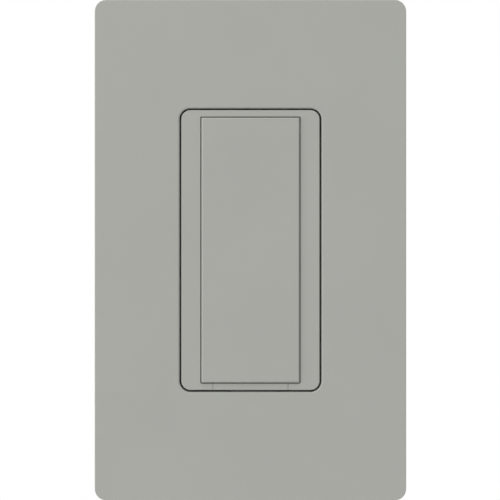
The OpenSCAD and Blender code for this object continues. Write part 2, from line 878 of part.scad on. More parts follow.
module bay_cut(at) {
    mirror([at[0] > 0 ? 0 : 1, 0, 0]) {
        block(
            [bay_floor, at[1] - bay_w / 2, -housing_depth - over],
            [housing_w / 2 + over, at[1] + bay_w / 2, bay_front]
        );
        block(
            [bay_floor - tongue_clear, at[1] - tongue_w / 2 - tongue_clear, bay_front - over],
            [
                bay_floor + terminal_t + tongue_clear,
                at[1] + tongue_w / 2 + tongue_clear,
                bay_front + bay_wall + over
            ]
        );
        translate([bay_floor - bay_wall - over, at[1], terminal_z]) rotate([0, 90, 0])
            cylinder(r = terminal_screw_r + 0.25, h = bay_wall + 2 * over);
    }
}

module back_housing() {
    r = housing_corner_r;
    e = housing_edge_r;
    inside = -housing_depth + housing_wall;
    color(housing_black) difference() {
        union() {
            difference() {
                union() {
                    around(housing_w, housing_h, r)
                        polygon(concat(
                            [[0, yoke_off], [0, -housing_depth]],
                            arc(r - e, -housing_depth + e, e, -90, 0),
                            [[r, yoke_off]]
                        ));
                    middle(housing_w, housing_h, r, -housing_depth, yoke_off);
                }
                block([-cavity_w / 2, -cavity_h / 2, inside], [cavity_w / 2, cavity_h / 2, over]);
            }
            for (x = [-1, 1], y = [-1, 1])
                translate([x * tower_x, y * tower_y, inside - 0.5])
                    cylinder(r = tower_r, h = yoke_off + 0.5 - inside);
            for (s = [-1, 1], y = ledge_at)
                block(
                    [min(s * (board_w / 2 - 1), s * (cavity_w / 2 + 0.4)), y - ledge_w / 2, inside - 0.4],
                    [max(s * (board_w / 2 - 1), s * (cavity_w / 2 + 0.4)), y + ledge_w / 2, board_back]
                );
            for (at = [line_at, load_at, traveler_at]) bay_block(at);
        }
        for (at = [line_at, load_at, traveler_at]) bay_cut(at);
        for (x = [-1, 1], y = [-1, 1])
            translate([x * tower_x, y * tower_y, 0]) {
                translate([0, 0, -housing_depth - over])
                    cylinder(r = small_screw_r + 0.15, h = housing_depth + 2 * over);
                translate([0, 0, -housing_depth - over])
                    cylinder(r = counterbore_r, h = counterbore + over);
            }
        slab(-housing_depth - over, panel_depth - housing_depth) round_rect(panel_w, panel_h, 1);
    }
}

module housing_screws() {
    head_under = -housing_depth + counterbore;
    color(steel) for (x = [-1, 1], y = [-1, 1])
        translate([x * tower_x, y * tower_y, head_under]) mirror([0, 0, 1])
            pan_screw(small_screw_r, yoke_front - 0.2 - head_under, small_head_r, small_head_h);
}

module spacer() {
    reach = 0.3;
    color("ivory") difference() {
        union() {
            slab(spacer_back, yoke_off) difference() {
                square([cavity_w - 2 * reach, cavity_h - 2 * reach], center = true);
                for (x = [-1, 1], y = [-1, 1])
                    translate([x * tower_x, y * tower_y]) square(2 * tower_r + 1.4, center = true);
            }
            for (x = [-1, 1], y = [-1, 1])
                translate([x * post_x, y * post_y, -board_depth])
                    cylinder(r = post_r, h = yoke_off + board_depth);
        }
        for (x = [-1, 1], y = [-1, 1])
            block(
                [x * leg_x - leg_t / 2 - 1.2, y * leg_y - leg_w / 2 - 0.6, spacer_back - over],
                [x * leg_x + leg_t / 2 + 1.2, y * leg_y + leg_w / 2 + 0.6, over]
            );
        translate([0, plunger_y, spacer_back - over])
            cylinder(r = plunger_hole_r, h = spacer_t + 2 * over);
        block(
            [-stem_w / 2 - shoulder_reach - 0.4, -cavity_h / 2, spacer_back - over],
            [stem_w / 2 + shoulder_reach + 0.4, tab_top + 0.4, over]
        );
    }
}

module circuit_board() {
    color("darkgreen") slab(board_back, -board_depth) difference() {
        square([board_w, board_h], center = true);
        for (x = [-1, 1], y = [-1, 1])
            translate([x * tower_x, y * tower_y]) square(2 * tower_r + 1, center = true);
    }
}

module tactile_switch() {
    color("dimgray") translate([0, plunger_y, 0]) difference() {
        block([-tact_w / 2, -tact_w / 2, -board_depth], [tact_w / 2, tact_w / 2, spacer_back]);
        translate([0, 0, tact_floor - board_depth])
            cylinder(r = plunger_r + running_clear, h = board_depth);
    }
}

module tactile_plunger() {
    low = tact_floor - board_depth + plunger_stroke + 0.2;
    color("black") translate([0, plunger_y, low]) cylinder(r = plunger_r, h = plunger_tip - low);
}

// A brass plate on a bay's floor, with a tongue up to the circuit board
module terminal(at) {
    high = bay_front - 0.5;
    color(brass) mirror([at[0] > 0 ? 0 : 1, 0, 0]) difference() {
        union() {
            block(
                [bay_floor, at[1] - terminal_w / 2, high - terminal_len],
                [bay_floor + terminal_t, at[1] + terminal_w / 2, high]
            );
            block(
                [bay_floor, at[1] - tongue_w / 2, high - 0.5],
                [bay_floor + terminal_t, at[1] + tongue_w / 2, board_back]
            );
        }
        translate([bay_floor - over, at[1], terminal_z]) rotate([0, 90, 0])
            cylinder(r = terminal_screw_r + thread_clear, h = terminal_t + 2 * over);
    }
}

module terminal_screw(at) {
    head_under = bay_floor + terminal_t + wire_gap;
    length = wire_gap + terminal_t + bay_wall + terminal_screw_end;
    mirror([at[0] > 0 ? 0 : 1, 0, 0]) translate([head_under, at[1], terminal_z]) rotate([0, 90, 0])
        pan_screw(terminal_screw_r, length, terminal_head_r, terminal_head_t);
}

module line_terminal() {
    terminal(line_at);
}

module load_terminal() {
    terminal(load_at);
}

module traveler_terminal() {
    terminal(traveler_at);
}

module line_terminal_screw() {
    color(brass) terminal_screw(line_at);
}

module load_terminal_screw() {
    color("black") terminal_screw(load_at);
}

module traveler_terminal_screw() {
    color("royalblue") terminal_screw(traveler_at);
}

module relay() {
    color("royalblue") slab(board_back - relay_size[2], board_back) translate([0, relay_y])
        round_rect(relay_size[0], relay_size[1], relay_corner_r);
}

module filter_capacitor() {
    color("gold") slab(board_back - film_size[2], board_back) translate([0, film_y])
        round_rect(film_size[0], film_size[1], relay_corner_r);
}

// The choke stands off the board by its winding's thickness
module choke_core() {
    low = board_back - winding_t - choke_h;
    color("dimgray") translate([0, choke_y, low]) difference() {
        cylinder(r = choke_r, h = choke_h);
        translate([0, 0, -over]) cylinder(r = choke_bore_r, h = choke_h + 2 * over);
    }
}

module choke_winding() {
    low = board_back - winding_t - choke_h;
    core_w = choke_r - choke_bore_r;
    clear = thread_clear;
    color("peru") translate([0, choke_y, low]) rotate_extrude(angle = 300) difference() {
        translate([choke_bore_r - winding_t, -winding_t])
            square([core_w + 2 * winding_t, choke_h + 2 * winding_t]);
        translate([choke_bore_r - clear, -clear]) square([core_w + 2 * clear, choke_h + 2 * clear]);
    }
}

module surge_disc() {
    centre_z = board_back - disc_r - 1;
    color("steelblue") translate([-corner_part_x, corner_part_y, centre_z]) {
        rotate([0, 90, 0]) cylinder(r = disc_r, h = disc_t, center = true);
        for (s = [-1, 1])
            translate([0, s * disc_r * 0.55, 0]) cylinder(r = lead_r, h = disc_r + 1);
    }
}

module storage_capacitor() {
    rim = 0.5;
    color("midnightblue") translate([corner_part_x, corner_part_y, board_back - can_h]) rotate_extrude()
        polygon([[0, 0], [can_r - rim, 0], [can_r, rim], [can_r, can_h], [0, can_h]]);
}

// The chip sits on the circuit board's front, under the spacer
module controller_chip() {
    color("black") translate([0, chip_y, 0])
        block(
            [-chip_size[0] / 2, -chip_size[1] / 2, -board_depth],
            [chip_size[0] / 2, chip_size[1] / 2, chip_size[2] - board_depth]
        );
}

upright() wallplate();
upright() wallplate_adapter();
upright() adapter_screws();
upright() bezel();
upright() tap_paddle();
upright() service_tab();
upright() air_gap_bridge();
upright() yoke();
upright() box_screws();
upright() screw_retainers();
upright() ground_screw();
upright() back_housing();
upright() housing_screws();
upright() spacer();
upright() circuit_board();
upright() tactile_switch();
upright() tactile_plunger();
upright() air_gap_blades();
upright() line_terminal();
upright() load_terminal();
upright() traveler_terminal();
upright() line_terminal_screw();
upright() load_terminal_screw();
upright() traveler_terminal_screw();
upright() relay();
upright() filter_capacitor();
upright() choke_core();
upright() choke_winding();
upright() surge_disc();
upright() storage_capacitor();
upright() controller_chip();
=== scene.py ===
# %% [markdown]
# A tap switch for a wall, with a grey cover plate that shows no screws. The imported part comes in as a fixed
# frame of 31 solids, each already in its place, and this lesson gives every one of them its finish.
# Where Blender can show more than the solid does, such as a real screw thread or the turns of a winding, a
# new piece is modelled and takes the solid's place.

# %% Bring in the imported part
import json
import math

import bmesh
import bpy
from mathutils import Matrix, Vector


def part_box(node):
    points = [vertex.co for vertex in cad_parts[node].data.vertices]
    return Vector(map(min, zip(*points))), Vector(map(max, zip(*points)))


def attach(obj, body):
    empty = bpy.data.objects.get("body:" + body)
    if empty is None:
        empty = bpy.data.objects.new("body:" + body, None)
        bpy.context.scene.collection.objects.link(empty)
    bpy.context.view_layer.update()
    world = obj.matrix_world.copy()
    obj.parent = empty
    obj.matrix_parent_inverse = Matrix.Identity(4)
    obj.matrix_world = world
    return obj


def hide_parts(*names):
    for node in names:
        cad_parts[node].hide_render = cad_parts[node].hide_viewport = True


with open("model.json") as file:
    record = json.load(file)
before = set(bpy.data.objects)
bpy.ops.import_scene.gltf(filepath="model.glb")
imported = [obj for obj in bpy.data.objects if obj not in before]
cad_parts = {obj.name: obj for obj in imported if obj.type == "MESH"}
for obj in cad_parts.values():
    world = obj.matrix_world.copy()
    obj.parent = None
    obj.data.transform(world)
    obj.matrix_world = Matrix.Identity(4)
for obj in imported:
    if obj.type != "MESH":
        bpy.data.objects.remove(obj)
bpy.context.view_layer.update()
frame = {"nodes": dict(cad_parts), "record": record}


# %% [markdown]
# The photograph looks straight at the plate, so sharp and flat that it was surely taken from far away with a
# long lens. A short lens close by would show the sides of the paddle and swell the middle. A 360 mm lens
# 1.2 m away keeps the edges parallel and lets the plate's height just fill the square frame. The real
# picture's centre is a tenth of a millimetre beside the plate's, so the camera stands there too.

# %% Camera
lens_mm = 360.0
stand_off = 1.1955
camera_aside = -0.000108
camera_up = 0.000024


def look_straight_on():
    data = bpy.data.cameras.new("photo_camera")
    data.lens = lens_mm
    data.sensor_width = 36.0
    data.clip_start = 0.05
    data.clip_end = 20.0
    camera = bpy.data.objects.new("photo_camera", data)
    bpy.context.scene.collection.objects.link(camera)
    camera.location = (camera_aside, -stand_off, camera_up)
    camera.rotation_euler = (math.radians(90), 0, 0)
    bpy.context.scene.camera = camera
    return camera


photo_camera = look_straight_on()
print("camera", round(photo_camera.data.lens), "mm at", round(stand_off, 3), "m")


# %% [markdown]
# Colours in the photograph are screen values from 0 to 255, and a shader wants linear light. This small
# function turns one into the other, so that each finish can be written as it is seen.

# %% Screen colour to linear light
def seen(red, green, blue):
    def linear(value):
        value = value / 255
        return value / 12.92 if value <= 0.04045 else ((value + 0.055) / 1.055) ** 2.4

    return (linear(red), linear(green), linear(blue), 1.0)


print("face grey in linear light:", [round(v, 3) for v in seen(168, 169, 163)[:3]])


# %% [markdown]
# The studio is a white room with soft light. The world gives even light from all sides, but the camera and
# every reflection see it as plain white, as in the photograph. The photograph's small highlights lie only on
# edges that face left or up, and its other edges are hardly darker than the faces. One lamp at the upper left
# would light a corner best and those edges least, so there are two, one far to the left and one far above,
# both well to the side of the camera. They give light but no mirror image, because seen from the right the
# satin face would mirror the left lamp and turn nearly white. A third behind, at the upper right, lights the
# back of the switch when it is turned round, and its image gives the bare metal there a gleam.

# %% World
room_light = 0.546


def white_room():
    world = bpy.data.worlds.new("white_room")
    world.use_nodes = True
    tree = world.node_tree
    tree.nodes.clear()
    output = tree.nodes.new("ShaderNodeOutputWorld")
    chooser = tree.nodes.new("ShaderNodeMixShader")
    light = tree.nodes.new("ShaderNodeBackground")
    light.inputs["Color"].default_value = (1, 1, 1, 1)
    light.inputs["Strength"].default_value = room_light
    white = tree.nodes.new("ShaderNodeBackground")
    white.inputs["Color"].default_value = (1, 1, 1, 1)
    white.inputs["Strength"].default_value = 1.0
    tree.links.new(seen_directly(tree), chooser.inputs["Fac"])
    tree.links.new(light.outputs[0], chooser.inputs[1])
    tree.links.new(white.outputs[0], chooser.inputs[2])
    tree.links.new(chooser.outputs[0], output.inputs["Surface"])
    bpy.context.scene.world = world


def seen_directly(tree):
    """One where the camera, a reflection or clear plastic looks, and zero where light is gathered"""
    path = tree.nodes.new("ShaderNodeLightPath")
    first = tree.nodes.new("ShaderNodeMath")
    first.operation = "MAXIMUM"
    second = tree.nodes.new("ShaderNodeMath")
    second.operation = "MAXIMUM"
    tree.links.new(path.outputs["Is Camera Ray"], first.inputs[0])
    tree.links.new(path.outputs["Is Glossy Ray"], first.inputs[1])
    tree.links.new(first.outputs[0], second.inputs[0])
    tree.links.new(path.outputs["Is Transmission Ray"], second.inputs[1])
    return second.outputs[0]


white_room()
print("world light", room_light)


# %% Lamps
def soft_lamp(name, place, size, watts, mirrored):
    data = bpy.data.lights.new(name, "AREA")
    data.shape = "DISK"
    data.size = size
    data.energy = watts
    lamp = bpy.data.objects.new(name, data)
    bpy.context.scene.collection.objects.link(lamp)
    lamp.location = place
    lamp.visible_glossy = mirrored
    lamp.rotation_euler = (-Vector(place)).to_track_quat("-Z", "Y").to_euler()
    return lamp


left_lamp = soft_lamp("left_lamp", (-1.4, -0.5, 0.1), 0.8, 10.4, mirrored=False)
top_lamp = soft_lamp("top_lamp", (0.0, -0.5, 1.4), 0.8, 10.4, mirrored=False)
back_lamp = soft_lamp("back_lamp", (0.7, 1.3, 0.9), 0.9, 5.5, mirrored=True)
print("lamps:", left_lamp.name, top_lamp.name, back_lamp.name)


# %% [markdown]
# The switch hangs on a wall and nothing stands under it, so the floor lies well below, out of the
# photograph's frame. It is a pale disc that keeps the soft shadow of the switch. From below it is clear, so
# that it doesn't hide the underside.

# %% Floor
floor_drop = 0.2


def pale_floor():
    bpy.ops.object.select_all(action="DESELECT")
    bpy.ops.mesh.primitive_circle_add(vertices=96, radius=1.4, fill_type="NGON", location=(0, 0, -floor_drop))
    bpy.ops.object.transform_apply(location=True, rotation=True, scale=True)
    floor = bpy.context.object
    floor.name = "studio_floor"
    paint = bpy.data.materials.new("studio_floor")
    paint.use_nodes = True
    tree = paint.node_tree
    tree.nodes.clear()
    output = tree.nodes.new("ShaderNodeOutputMaterial")
    dull = tree.nodes.new("ShaderNodeBsdfDiffuse")
    dull.inputs["Color"].default_value = (0.75, 0.75, 0.75, 1)
    bright = tree.nodes.new("ShaderNodeBsdfDiffuse")
    bright.inputs["Color"].default_value = (1, 1, 1, 1)
    glow = tree.nodes.new("ShaderNodeEmission")
    glow.inputs["Strength"].default_value = 0.35
    shown = tree.nodes.new("ShaderNodeAddShader")
    chooser = tree.nodes.new("ShaderNodeMixShader")
    clear = tree.nodes.new("ShaderNodeBsdfTransparent")
    side = tree.nodes.new("ShaderNodeNewGeometry")
    underside = tree.nodes.new("ShaderNodeMixShader")
    tree.links.new(bright.outputs[0], shown.inputs[0])
    tree.links.new(glow.outputs[0], shown.inputs[1])
    tree.links.new(seen_directly(tree), chooser.inputs["Fac"])
    tree.links.new(dull.outputs[0], chooser.inputs[1])
    tree.links.new(shown.outputs[0], chooser.inputs[2])
    tree.links.new(side.outputs["Backfacing"], underside.inputs["Fac"])
    tree.links.new(chooser.outputs[0], underside.inputs[1])
    tree.links.new(clear.outputs[0], underside.inputs[2])
    tree.links.new(underside.outputs[0], output.inputs["Surface"])
    floor.data.materials.append(paint)
    return floor


studio_floor = pale_floor()
print("floor at", round(-floor_drop, 3))


# %% [markdown]
# Every finish starts from the same three steps: a surface shader, the place on the piece in metres, and a
# pattern of a real size. Sizes are given in millimetres, because a moulder speaks of a grain of a third of a
# millimetre and not of a noise scale of three thousand.

# %% Tools for finishes
def surface(name, colour, roughness, metallic=0.0, ior=1.47):
    paint = bpy.data.materials.new(name)
    paint.use_nodes = True
    shader = paint.node_tree.nodes["Principled BSDF"]
    shader.inputs["Base Color"].default_value = colour
    shader.inputs["Roughness"].default_value = roughness
    shader.inputs["Metallic"].default_value = metallic
    shader.inputs["IOR"].default_value = ior
    return paint, paint.node_tree, shader


def place_on_piece(tree, stretch=(1, 1, 1), turn=(0, 0, 0)):
    where = tree.nodes.new("ShaderNodeTexCoord")
    mapping = tree.nodes.new("ShaderNodeMapping")
    mapping.inputs["Scale"].default_value = stretch
    mapping.inputs["Rotation"].default_value = [math.radians(v) for v in turn]
    tree.links.new(where.outputs["Object"], mapping.inputs["Vector"])
    return mapping.outputs["Vector"]


def grain(tree, place, size_mm, detail=2.0, rough=0.5):
    noise = tree.nodes.new("ShaderNodeTexNoise")
    noise.inputs["Scale"].default_value = 1000.0 / size_mm
    noise.inputs["Detail"].default_value = detail
    noise.inputs["Roughness"].default_value = rough
    tree.links.new(place, noise.inputs["Vector"])
    return noise.outputs["Fac"]


def between(tree, pattern, low, high, start=0.2, end=0.8):
    spread = tree.nodes.new("ShaderNodeMapRange")
    spread.interpolation_type = "SMOOTHSTEP"
    spread.inputs["From Min"].default_value = start
    spread.inputs["From Max"].default_value = end
    spread.inputs["To Min"].default_value = low
    spread.inputs["To Max"].default_value = high
    tree.links.new(pattern, spread.inputs["Value"])
    return spread.outputs["Result"]


def two_tones(tree, pattern, first, second, start=0.2, end=0.8):
    ramp = tree.nodes.new("ShaderNodeValToRGB")
    ramp.color_ramp.interpolation = "EASE"
    ramp.color_ramp.elements[0].position = start
    ramp.color_ramp.elements[0].color = first
    ramp.color_ramp.elements[1].position = end
    ramp.color_ramp.elements[1].color = second
    tree.links.new(pattern, ramp.inputs["Fac"])
    return ramp.outputs["Color"]


def raised(tree, pattern, depth_mm, under=None):
    bump = tree.nodes.new("ShaderNodeBump")
    bump.inputs["Strength"].default_value = 1.0
    bump.inputs["Distance"].default_value = depth_mm / 1000.0
    tree.links.new(pattern, bump.inputs["Height"])
    if under is not None:
        tree.links.new(under, bump.inputs["Normal"])
    return bump.outputs["Normal"]


def darker(colour, share):
    return (colour[0] * share, colour[1] * share, colour[2] * share, 1.0)


# %% [markdown]
# The cover plate and the switch's face are the same satin grey plastic. The mould was etched with a very
# fine texture that takes the gloss off, so the grain is about a quarter of a millimetre wide and only a
# few thousandths high. The colour drifts by about one part in a hundred, as pigment does.

# %% Moulded plastics
def moulded(name, colour, roughness, grain_mm, height_mm, drift=0.012, ior=1.47):
    paint, tree, shader = surface(name, colour, roughness, ior=ior)
    place = place_on_piece(tree)
    fine = grain(tree, place, grain_mm, 3.0, 0.55)
    broad = grain(tree, place, 18.0, 2.0)
    tone = two_tones(tree, broad, darker(colour, 1 - drift), darker(colour, 1 + drift))
    tree.links.new(tone, shader.inputs["Base Color"])
    tree.links.new(between(tree, broad, roughness - 0.03, roughness + 0.03), shader.inputs["Roughness"])
    tree.links.new(raised(tree, fine, height_mm), shader.inputs["Normal"])
    return paint


face_grey = seen(168, 169, 163)
cover_plastic = moulded("cover_plastic", face_grey, 0.32, 0.26, 0.003)
device_plastic = moulded("device_plastic", face_grey, 0.32, 0.26, 0.0025)
adapter_plastic = moulded("adapter_plastic", seen(226, 226, 219), 0.42, 0.4, 0.004)
spacer_plastic = moulded("spacer_plastic", seen(214, 206, 182), 0.5, 0.5, 0.004)
switch_body = moulded("switch_body", seen(44, 44, 46), 0.5, 0.3, 0.003)
plunger_plastic = moulded("plunger_plastic", seen(26, 26, 27), 0.42, 0.3, 0.003)
relay_plastic = moulded("relay_plastic", seen(34, 62, 112), 0.4, 0.35, 0.004)
capacitor_plastic = moulded("capacitor_plastic", seen(196, 150, 44), 0.42, 0.35, 0.004)
chip_epoxy = moulded("chip_epoxy", seen(30, 30, 31), 0.6, 0.15, 0.004)
print("moulded plastics: 9")


# %% [markdown]
# The housing is black plastic filled with short glass fibres. Fibres near the skin show as faint paler
# flecks that lie along the way the plastic flowed, and they make the surface a little rough.

# %% Glass-filled housing plastic
def glass_filled(name, colour):
    paint, tree, shader = surface(name, colour, 0.5)
    along = place_on_piece(tree, (1, 1, 0.22))
    fibres = grain(tree, along, 0.3, 3.0, 0.65)
    place = place_on_piece(tree)
    fine = grain(tree, place, 0.2, 2.0)
    broad = grain(tree, place, 14.0, 2.0)
    tone = two_tones(tree, fibres, colour, seen(64, 65, 68), 0.56, 0.82)
    tree.links.new(tone, shader.inputs["Base Color"])
    tree.links.new(between(tree, broad, 0.42, 0.56), shader.inputs["Roughness"])
    skin = raised(tree, fine, 0.006)
    tree.links.new(raised(tree, fibres, 0.006, skin), shader.inputs["Normal"])
    return paint


housing_plastic = glass_filled("housing_plastic", seen(33, 33, 35))
print("housing plastic made")


# %% [markdown]
# The metals differ in colour and in how they were worked. The yoke is sheet that was rolled, so its fine
# lines run one way. Screws were plated in a barrel, which leaves them bright with a slight mottle, and the
# green and the blue screw are dyed over the plating.

# %% Metals
def rolled_sheet(name, colour, stretch):
    paint, tree, shader = surface(name, colour, 0.36, 1.0)
    lines = grain(tree, place_on_piece(tree, stretch), 0.35, 4.0, 0.6)
    place = place_on_piece(tree)
    smudge = grain(tree, place, 9.0, 3.0)
    tone = two_tones(tree, smudge, darker(colour, 0.93), colour)
    tree.links.new(tone, shader.inputs["Base Color"])
    tree.links.new(between(tree, lines, 0.3, 0.46), shader.inputs["Roughness"])
    tree.links.new(raised(tree, lines, 0.006), shader.inputs["Normal"])
    return paint


def plated(name, colour, other, roughness=0.27):
    paint, tree, shader = surface(name, colour, roughness, 1.0)
    place = place_on_piece(tree)
    mottle = grain(tree, place, 1.6, 3.0)
    fine = grain(tree, place, 0.18, 2.0)
    tree.links.new(two_tones(tree, mottle, colour, other), shader.inputs["Base Color"])
    tree.links.new(between(tree, mottle, roughness - 0.05, roughness + 0.09), shader.inputs["Roughness"])
    tree.links.new(raised(tree, fine, 0.003), shader.inputs["Normal"])
    return paint


yoke_metal = rolled_sheet("yoke_metal", seen(192, 194, 196), (1, 1, 0.04))
brass = rolled_sheet("brass", seen(214, 178, 102), (1, 0.05, 1))
zinc_steel = plated("zinc_steel", seen(196, 198, 203), seen(180, 182, 182))
brass_screw = plated("brass_screw", seen(216, 182, 104), seen(204, 166, 90))
black_screw = plated("black_screw", seen(58, 58, 60), seen(48, 48, 50), 0.36)
blue_screw = plated("blue_screw", seen(48, 92, 158), seen(38, 78, 146), 0.3)
green_screw = plated("green_screw", seen(42, 132, 78), seen(34, 116, 66), 0.3)
print("metals: 7")


# %% [markdown]
# The rest are materials with a look of their own. Vulcanised fibre shows its felted layers, a circuit board
# has a green lacquer over faint copper tracks, a ferrite ring is a dull dark ceramic, enamelled wire is
# bright red-brown copper, and the sleeve of a storage capacitor is smooth and shiny.

# %% Other finishes
def felted(name, colour):
    paint, tree, shader = surface(name, colour, 0.8)
    place = place_on_piece(tree)
    felt = grain(tree, place, 0.25, 5.0, 0.7)
    tree.links.new(two_tones(tree, felt, darker(colour, 0.78), darker(colour, 1.15)), shader.inputs["Base Color"])
    tree.links.new(raised(tree, felt, 0.03), shader.inputs["Normal"])
    return paint


def lacquered_board(name):
    lacquer = seen(24, 84, 50)
    paint, tree, shader = surface(name, lacquer, 0.3)
    place = place_on_piece(tree, (1, 0.01, 1))
    tracks = tree.nodes.new("ShaderNodeTexVoronoi")
    tracks.feature = "DISTANCE_TO_EDGE"
    tracks.distance = "CHEBYCHEV"
    tracks.inputs["Scale"].default_value = 260.0
    tree.links.new(place, tracks.inputs["Vector"])
    tone = two_tones(tree, tracks.outputs["Distance"], darker(lacquer, 0.72), lacquer, 0.1, 0.16)
    tree.links.new(tone, shader.inputs["Base Color"])
    tree.links.new(raised(tree, tracks.outputs["Distance"], 0.03), shader.inputs["Normal"])
    shader.inputs["Coat Weight"].default_value = 0.4
    return paint


def glazed(name, colour, roughness, grain_mm, height_mm):
    paint, tree, shader = surface(name, colour, roughness)
    place = place_on_piece(tree)
    wave = grain(tree, place, grain_mm, 2.0)
    tree.links.new(two_tones(tree, wave, darker(colour, 0.92), darker(colour, 1.08)), shader.inputs["Base Color"])
    tree.links.new(raised(tree, wave, height_mm), shader.inputs["Normal"])
    return paint


fibre = felted("fibre", seen(120, 72, 50))
board_laminate = lacquered_board("board_laminate")
ferrite = glazed("ferrite", seen(52, 54, 56), 0.6, 0.5, 0.02)
copper_winding = plated("copper_winding", seen(186, 96, 58), seen(168, 80, 46), 0.24)
surge_ceramic = glazed("surge_ceramic", seen(40, 82, 150), 0.28, 2.4, 0.12)
can_sleeve = glazed("can_sleeve", seen(28, 32, 52), 0.3, 3.0, 0.04)
print("other finishes: 6")


# %% [markdown]
# Each solid names the finish it has on the real switch, so one table dresses them all.

# %% Dress the solids
finish_of = {
    "cover_plastic": cover_plastic,
    "device_plastic": device_plastic,
    "adapter_plastic": adapter_plastic,
    "housing_plastic": housing_plastic,
    "yoke_metal": yoke_metal,
    "zinc_steel": zinc_steel,
    "brass": brass,
    "brass_screw": brass_screw,
    "black_screw": black_screw,
    "blue_screw": blue_screw,
    "green_screw": green_screw,
    "fibre": fibre,
    "spacer_plastic": spacer_plastic,
    "board_laminate": board_laminate,
    "switch_body": switch_body,
    "plunger_plastic": plunger_plastic,
    "relay_plastic": relay_plastic,
    "capacitor_plastic": capacitor_plastic,
    "ferrite": ferrite,
    "copper_winding": copper_winding,
    "surge_ceramic": surge_ceramic,
    "can_sleeve": can_sleeve,
    "chip_epoxy": chip_epoxy,
}
finish_name = {}


def dress(node):
    solid = frame["nodes"][node]
    for held in solid.material_slots:
        finish_name[node] = held.material.name.split(".")[0]
        held.material = finish_of[finish_name[node]]


for node in sorted(frame["nodes"]):
    dress(node)
print("dressed:", len(frame["nodes"]), "solids")


# %% [markdown]
# A solid from the drawing has edges as sharp as a knife, and round corners made of a few flats. Nothing that
# was moulded or stamped looks like that: each edge is broken by a tenth of a millimetre or two, and that thin
# round catches the light. Modelling all the pieces again would only repeat the drawing, so each is copied,
# its loose triangles are merged, flat areas become single faces, and a Bevel modifier breaks the edges.
# Weighted normals then keep the flat areas flat in the light while the rounds look smooth.

# %% Tools for modelling
body_of = {}
for body, members in frame["record"]["behaviour"]["bodies"].items():
    for node in members:
        body_of[node] = body


def alone(piece):
    bpy.ops.object.select_all(action="DESELECT")
    piece.select_set(True)
    bpy.context.view_layer.objects.active = piece


def edit(piece):
    alone(piece)
    bpy.ops.object.mode_set(mode="EDIT")
    bpy.ops.mesh.select_all(action="SELECT")


def leave_edit():
    bpy.ops.object.mode_set(mode="OBJECT")


def apply_all(piece):
    alone(piece)
    for modifier in list(piece.modifiers):
        bpy.ops.object.modifier_apply(modifier=modifier.name)


def triangles(piece):
    piece.data.calc_loop_triangles()
    return len(piece.data.loop_triangles)


def stands_for(piece, node):
    """Hands a finished piece the finish, the body and the place of the solid that it replaces"""
    piece.data.materials.clear()
    piece.data.materials.append(finish_of[finish_name[node]])
    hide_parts(node)
    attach(piece, body_of[node])


def smooth_rounds(piece, angle):
    alone(piece)
    bpy.ops.object.shade_smooth_by_angle(angle=math.radians(angle))
    weights = piece.modifiers.new("flat_faces_stay_flat", "WEIGHTED_NORMAL")
    weights.keep_sharp = True
    weights.weight = 100
    apply_all(piece)


# %% Break the edges of the moulded and stamped pieces
def broken_edges(node, name, edge_mm, angle=40):
    piece = bpy.data.objects.new(name, frame["nodes"][node].data.copy())
    bpy.context.scene.collection.objects.link(piece)
    alone(piece)
    bpy.ops.mesh.customdata_custom_splitnormals_clear()
    edit(piece)
    bpy.ops.mesh.remove_doubles(threshold=0.000002)
    bpy.ops.mesh.dissolve_limited(angle_limit=math.radians(0.4))
    leave_edit()
    bevel = piece.modifiers.new("broken_edge", "BEVEL")
    bevel.width = edge_mm / 1000
    bevel.segments = 2
    bevel.limit_method = "ANGLE"
    bevel.angle_limit = math.radians(angle)
    bevel.use_clamp_overlap = False
    bevel.miter_outer = "MITER_ARC"
    apply_all(piece)
    smooth_rounds(piece, 35)
    stands_for(piece, node)
    return piece


edge_widths = {
    "wallplate": ("cover_plate", 0.1),
    "wallplate_adapter": ("adapter_plate", 0.12),
    "bezel": ("face_bezel", 0.08),
    "tap_paddle": ("paddle_shell", 0.08),
    "service_tab": ("pull_tab", 0.06),
    "yoke": ("stamped_yoke", 0.12),
    "back_housing": ("rear_housing", 0.14),
    "spacer": ("insulating_spacer", 0.1),
    "circuit_board": ("lacquered_board", 0.06),
    "tactile_switch": ("switch_case", 0.08),
    "tactile_plunger": ("switch_plunger", 0.12),
    "relay": ("relay_can", 0.25),
    "filter_capacitor": ("film_capacitor", 0.25),
    "choke_core": ("choke_ring", 0.35),
    "controller_chip": ("control_chip", 0.08),
    "line_terminal": ("line_plate", 0.08),
    "load_terminal": ("load_plate", 0.08),
    "traveler_terminal": ("traveler_plate", 0.08),
    "air_gap_bridge": ("contact_bridge", 0.08),
    "air_gap_blades": ("contact_blades", 0.06),
    "screw_retainers": ("fibre_washers", 0.05),
}
for node, (name, edge_mm) in edge_widths.items():
    piece = broken_edges(node, name, edge_mm)
    print(name, triangles(piece), "triangles")


# %% [markdown]
# The screws are the plainest solids, because a drawing leaves their threads out. Behind the plate the long
# box screws stand free, and there the thread is the finest thing to see. Bump would leave its outline smooth,
# so it is modelled. One tooth is drawn in outline, from a single corner of a plane, and a Screw modifier
# carries it round the axis while it climbs by one pitch a turn. The helix is made a turn too long at each end
# and then cut square, which closes it and lets the thread run out as on a real rod.

# %% A threaded rod
mm = 0.001
round_steps = 32


def select_where(piece, test, kind="VERT"):
    """In edit mode, selects only what has all its corners at places that pass the test"""
    bpy.ops.mesh.select_mode(type=kind)
    bpy.ops.mesh.select_all(action="DESELECT")
    shape = bmesh.from_edit_mesh(piece.data)
    parts = {"VERT": shape.verts, "EDGE": shape.edges, "FACE": shape.faces}[kind]
    for part in parts:
        corners = [part.co] if kind == "VERT" else [corner.co for corner in part.verts]
        part.select_set(all(test(corner) for corner in corners))
    shape.select_flush_mode()
    bmesh.update_edit_mesh(piece.data)


def named(name):
    piece = bpy.context.object
    piece.name = name
    piece.data.name = name
    return piece


